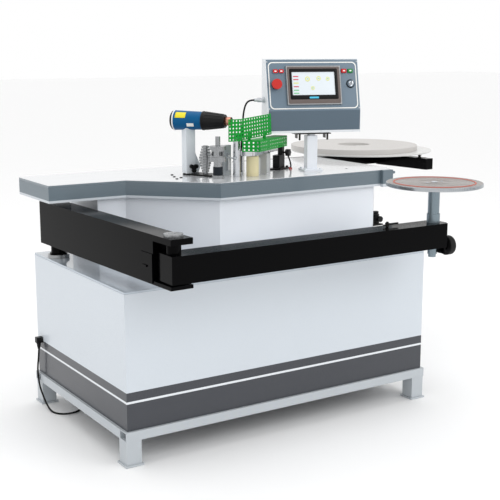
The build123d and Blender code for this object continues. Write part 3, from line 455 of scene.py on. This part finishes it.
def frame_ring(outer, inner, low, high):
    """A flat frame between two outlines with the same number of corners."""
    mesh = bmesh.new()
    count = len(outer)
    loops = [[mesh.verts.new((x, y, z)) for x, y in outline]
             for outline, z in ((outer, low), (outer, high), (inner, high), (inner, low))]
    for first, second in zip(loops, loops[1:] + loops[:1]):
        for k in range(count):
            after = (k + 1) % count
            mesh.faces.new((first[k], first[after], second[after], second[k]))
    return mesh


def basis(origin, x_axis, z_axis):
    """Placement with its origin in millimetres, from two axes."""
    x_axis, z_axis = Vector(x_axis).normalized(), Vector(z_axis).normalized()
    y_axis = z_axis.cross(x_axis)
    place = Matrix((x_axis, y_axis, z_axis)).transposed().to_4x4()
    place.translation = Vector(origin) * MM
    return place


def dome_screw(mesh, x, y, low, radius, height):
    """Adds a domed screw head with a round socket."""
    lathe([(0, low), (radius, low), (radius, low + height * 0.4), (radius * 0.75, low + height * 0.85),
           (radius * 0.45, low + height), (radius * 0.4, low + height * 0.5), (0, low + height * 0.5)],
          x, y, steps=16, mesh=mesh)


# ---------------------------------------------------------------- control face
# Places on the upper face are across from its middle and up from its bend; heights stand out from it.
BOX_YAW, FACE_TILT = math.radians(-17), math.radians(13)
BEND_HEIGHT, FACE_FRONT = 1141, -47
post_axis = Vector(JOINTS["box_swivel"]["pos_m"])
FACE = (Matrix.Translation((post_axis.x, post_axis.y, 0)) @ Matrix.Rotation(BOX_YAW, 4, "Z")
        @ basis((0, FACE_FRONT, BEND_HEIGHT), (1, 0, 0), (0, -math.cos(FACE_TILT), math.sin(FACE_TILT))))
ESTOP, KEY = (-156, 102), (155, 104)
PANEL, GLASS, SCREEN = (0, 98.6), (-1, 103), (-2, 105.1)       # middles of the panel's nested frames
CYAN_LABEL = (-3, 49.5)
LIGHTS_UP = 155
LAMPS, BUTTONS = (-155, -131), (129, 156)
MARK_LOW = 7.7                             # screen marks start just inside the glass


def on_face(name, mesh, material, bevel=0.0):
    return finish_piece(name, mesh, material, "control_box", "control_face", FACE, bevel)


def on_panel(name, mesh, material):
    return finish_piece(name, mesh, material, "control_box", "touch_panel", FACE)


on_face("face_border_strip",
        frame_ring(rounded(366, 185.5, 18, (0, 99)), rounded(358, 177.5, 15, (0, 99)), 0.0, 0.7),
        "label_white")
on_panel("screen_rim", frame_ring(rounded(217, 145, 5, PANEL), rounded(199, 121, 5, GLASS), 8.0, 9.4),
         "screen_brown")
on_panel("screen_black_frame", frame_ring(rounded(199, 121, 5, GLASS), rounded(177, 91, 2, SCREEN), 7.4, 9.6),
         "screen_black")
on_panel("screen_glass", prism(rounded(178, 92, 1.5, SCREEN), 6.8, 7.8), "screen_white")
on_panel("panel_cyan_label", prism(rounded(38, 7, 1.5, CYAN_LABEL), 8.9, 9.9), "label_cyan")
for index, (up, shade) in enumerate(((28, "mark_red"), (16, "mark_red"), (2, "mark_yellow"),
                                     (-12, "mark_red"), (-26, "mark_green"), (-38, "mark_green"))):
    on_panel(f"screen_mark_{index}", prism(rounded(22, 4.5, 2, (-74, SCREEN[1] + up)), MARK_LOW, 8.2), shade)
for index, (x, up, size) in enumerate(((-26, 18, 20), (20, 20, 18), (58, 18, 16), (-6, -18, 15))):
    middle = (x, SCREEN[1] + up)
    outline = rounded(size, size, size / 2 - 0.1, middle)
    hole = rounded(size * 0.6, size * 0.6, size * 0.3 - 0.1, middle)
    on_panel(f"screen_dial_{index}", frame_ring(outline, hole, MARK_LOW, 8.1), "mark_yellow")
    on_panel(f"screen_dial_mark_{index}", prism(rounded(7, 2.5, 1.2, middle), MARK_LOW, 8.3), "mark_green")
PILLS = [(x, "control_box", "control_face", 5.9, 6.7) for x in LAMPS]
PILLS += [(BUTTONS[0], "stop", "button_stop", 6.9, 7.6), (BUTTONS[1], "start", "button_start", 6.9, 7.6)]
for index, (x, body, slot, low, high) in enumerate(PILLS):
    finish_piece(f"pill_light_{index}", prism(rounded(9, 5, 2.4, (x, LIGHTS_UP)), low, high), "label_white",
                 body, slot, FACE)
for index, x in enumerate(LAMPS):
    on_face(f"lamp_lens_{index}", prism(rounded(20.5, 14.5, 4, (x, LIGHTS_UP)), 5.0, 6.5), "lamp_red",
            bevel=0.8)
screws = bmesh.new()
for x, y in ((-186, 192), (186, 192), (-186, 8), (186, 8)):
    dome_screw(screws, x, y, 0, 3.2, 2.0)
on_face("face_screws", screws, "chrome")
on_face("estop_collar", lathe([(14.1, 0), (17, 0), (16.4, 9), (14.1, 9)], *ESTOP), "screen_black")
on_face("key_ring_trim", lathe([(13.5, 0), (17, 0), (17, 2.4), (15, 3.4), (13.5, 3.4)], *KEY), "black_satin")


# ---------------------------------------------------------------- heat gun
# Lengths run along the gun from its post's axis to its tip; angles start at its top.
GUN_HEIGHT, GUN_YAW = 1109, math.radians(-51)
RIBS, RIB_HALF, RIB_HIGH = 16, 1.6, 2.2
gun_axis = Vector(JOINTS["gun_swing"]["pos_m"]) / MM
GUN = basis((gun_axis.x, gun_axis.y, GUN_HEIGHT), (0, 0, 1), (math.cos(GUN_YAW), math.sin(GUN_YAW), 0))


def body_radius(z):
    return 38 - 4 * (z + 55) / 123


def cover_radius(z):
    return 34.6 - (z - 68) * 10 / 84


def on_gun(name, mesh, material, slot="gun_body"):
    return finish_piece(name, mesh, material, "heat_gun", slot, GUN)


def gun_ring(low, high, radius):
    return lathe([(radius - 5, low), (radius, low), (radius + 0.6, low + 1.5), (radius + 0.6, high - 1.5),
                  (radius, high), (radius - 5, high)], steps=64)


def curved_label(name, material, start, end, middle, half, lift=0.35, thickness=0.6):
    """A patch that follows the gun's tapering body. Its middle and half width are angles in degrees."""
    rows, columns = 8, 16
    mesh = bmesh.new()
    grid = []
    for row in range(rows + 1):
        z = start + (end - start) * row / rows
        angles = [math.radians(middle + half * (2 * column / columns - 1)) for column in range(columns + 1)]
        radius = body_radius(z) + lift
        grid.append([mesh.verts.new((radius * math.cos(angle), radius * math.sin(angle), z))
                     for angle in angles])
    for first, second in zip(grid, grid[1:]):
        for column in range(columns):
            mesh.faces.new((first[column], first[column + 1], second[column + 1], second[column]))
    thick = on_gun(name, mesh, material).modifiers.new("thickness", "SOLIDIFY")
    thick.thickness = thickness * MM
    thick.offset = 0


on_gun("gun_front_ring", gun_ring(61, 68.5, 36.0), "black_satin")
on_gun("gun_cap_ring", gun_ring(-55, -50, 38.9), "gun_white")
on_gun("gun_rear_cap", lathe([(0, -67.6), (20, -67.6), (30, -66.2), (35.5, -62), (37.6, -57), (37.6, -54.8),
                              (0, -54.8)], steps=64), "black_satin")
ribs = bmesh.new()
for index in range(RIBS):
    corners = len(ribs.verts)
    prism([(-RIB_HALF, 0), (RIB_HALF, 0), (RIB_HALF, RIB_HIGH), (-RIB_HALF, RIB_HIGH)], 74, 146, ribs)
    ribs.verts.ensure_lookup_table()
    rib = ribs.verts[corners:]
    for vert in rib:
        vert.co.y += cover_radius(vert.co.z) - 0.7
    around = Matrix.Rotation(2 * math.pi * index / RIBS, 3, "Z")
    bmesh.ops.rotate(ribs, verts=rib, cent=(0, 0, 0), matrix=around)
on_gun("gun_nozzle_ribs", ribs, "black_satin", "gun_nozzle")
on_gun("gun_tip", lathe([(0, 176.2), (8, 176.2), (8, 168), (12.5, 168), (15.2, 176.6), (16.4, 174), (17, 153),
                         (0, 152)]), "copper", "gun_nozzle")
curved_label("gun_label_yellow", "label_yellow", -42, 0, 52, 20)
curved_label("gun_label_white", "label_white", 6, 34, 115, 11)

# ---------------------------------------------------------------- support disc
RIM_IN, RIM_OUT = 173.2, 175
TEETH, TOOTH_HALF = 150, 2.3
disc_x, disc_y = disc_axis.x / MM, disc_axis.y / MM


def on_disc(name, mesh, material, **words):
    return finish_piece(name, mesh, material, "disc", "support_disc", **words)


disc_piece = on_disc("disc_turned_top", lathe(
    [(0, 891), (30, 891), (172, 891), (173.6, 892), (173.6, 903.6), (172.4, 904.8), (151, 904.8), (150, 903),
     (144, 903), (143, 904.8), (60, 904.8), (59, 904.2), (52, 904.2), (51, 904.8), (0, 904.8)],
    disc_x, disc_y, steps=120), "disc_top")
disc_piece.data.materials.append(M["disc_edge"])
for face in disc_piece.data.polygons:
    if math.hypot(face.center.x / MM - disc_x, face.center.y / MM - disc_y) > 171:
        face.material_index = 1
on_disc("disc_hub", lathe([(0, 879.3), (30, 879.3), (30, 891.5), (0, 891.5)], disc_x, disc_y), "post_steel",
        bevel=1)
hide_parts("support_disc")
teeth = bmesh.new()
for index in range(TEETH):
    angle = 2 * math.pi * index / TEETH
    c, s = math.cos(angle), math.sin(angle)
    corners = ((RIM_IN, TOOTH_HALF), (RIM_OUT, TOOTH_HALF * 0.8), (RIM_OUT, -TOOTH_HALF * 0.8),
               (RIM_IN, -TOOTH_HALF))
    outline = [(disc_x + out * c + aside * s, disc_y + out * s - aside * c) for out, aside in corners]
    prism(outline, 892.6, 903.2, teeth)
on_disc("disc_knurled_edge", teeth, "disc_edge", smooth=False)
on_disc("disc_grip_ring", lathe([(144.4, 902.9), (149.6, 902.9), (149.6, 905.2), (148, 906.3), (146, 906.3),
                                 (144.4, 905.2)], disc_x, disc_y, steps=120), "red_rubber")
screws = bmesh.new()
dome_screw(screws, disc_x, disc_y, 904.7, 12, 3.5)
for side in (-1, 1):
    dome_screw(screws, disc_x + side * 35, disc_y, 904.7, 5, 2.4)
on_disc("disc_screws", screws, "chrome")

# ---------------------------------------------------------------- table details
ON_TABLE = 899.9                           # pieces on the table start just inside its top
screws = bmesh.new()
for x, y in ((-222, 19), (-200, 80), (-190, 45), (-179, 137)):
    dome_screw(screws, x, y, ON_TABLE, 6, 3.0)
for x, y in ((165, 120), (430, 210), (520, -60)):
    dome_screw(screws, x, y, ON_TABLE, 5, 1.2)
finish_piece("table_screws", screws, "dark_steel", "machine", "table_plate", FROM_BASE)

# ---------------------------------------------------------------- cords' finish and ends
for piece, node in ((control_cable, "control_cable"), (head_hose, "head_hose")):
    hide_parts(node)
grommet = lathe([(3.4, ON_TABLE), (12, ON_TABLE), (12, 902), (9, 904), (3.4, 904)], 104, 86)
finish_piece("cable_grommet", grommet, "black_rubber", "machine", "control_cable", FROM_BASE)
fitting = lathe([(3.0, ON_TABLE), (7, ON_TABLE), (7, 903), (6, 906), (3.0, 906)], 323, 56)
finish_piece("hose_fitting", fitting, "red_fitting", "machine", "head_hose", FROM_BASE)
for piece, slot in ((power_cord, "power_cord"), (control_cable, "control_cable"), (head_hose, "head_hose")):
    piece.data.materials.append(M["black_rubber"])
    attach(piece, "machine")

# ---------------------------------------------------------------- light and floor
floor_mesh = bmesh.new()
bmesh.ops.create_grid(floor_mesh, x_segments=1, y_segments=1, size=40)
floor_data = bpy.data.meshes.new("studio_floor")
floor_mesh.to_mesh(floor_data)
floor_mesh.free()
floor = bpy.data.objects.new("studio_floor", floor_data)
define("floor_white", srgb(250, 250, 250), 0.7, vary=0.0, grain=30, bump=0.0)
floor.data.materials.append(M["floor_white"])
floor.location = (0, 0, -0.0005)
bpy.context.scene.collection.objects.link(floor)

world = bpy.data.worlds.new("studio")
world.use_nodes = True
world.node_tree.nodes["Background"].inputs["Color"].default_value = (1, 1, 1, 1)
world.node_tree.nodes["Background"].inputs["Strength"].default_value = 1.0
bpy.context.scene.world = world
bpy.context.scene.view_settings.view_transform = "Standard"


def softbox(name, location, target, size, power):
    light = bpy.data.objects.new(name, bpy.data.lights.new(name, "AREA"))
    light.data.shape = "RECTANGLE"
    light.data.size, light.data.size_y = size
    light.data.energy = power
    light.location = location
    light.rotation_euler = (Vector(target) - Vector(location)).to_track_quat("-Z", "Y").to_euler()
    bpy.context.scene.collection.objects.link(light)


MIDDLE = BASE + Vector((0.1, -0.1, 0.7))
softbox("key_softbox", MIDDLE + Vector((2.3, -4.5, 2.9)), MIDDLE, (3.2, 2.6), 60)
softbox("top_softbox", MIDDLE + Vector((-0.4, 0.4, 3.7)), MIDDLE, (3.5, 3.5), 40)
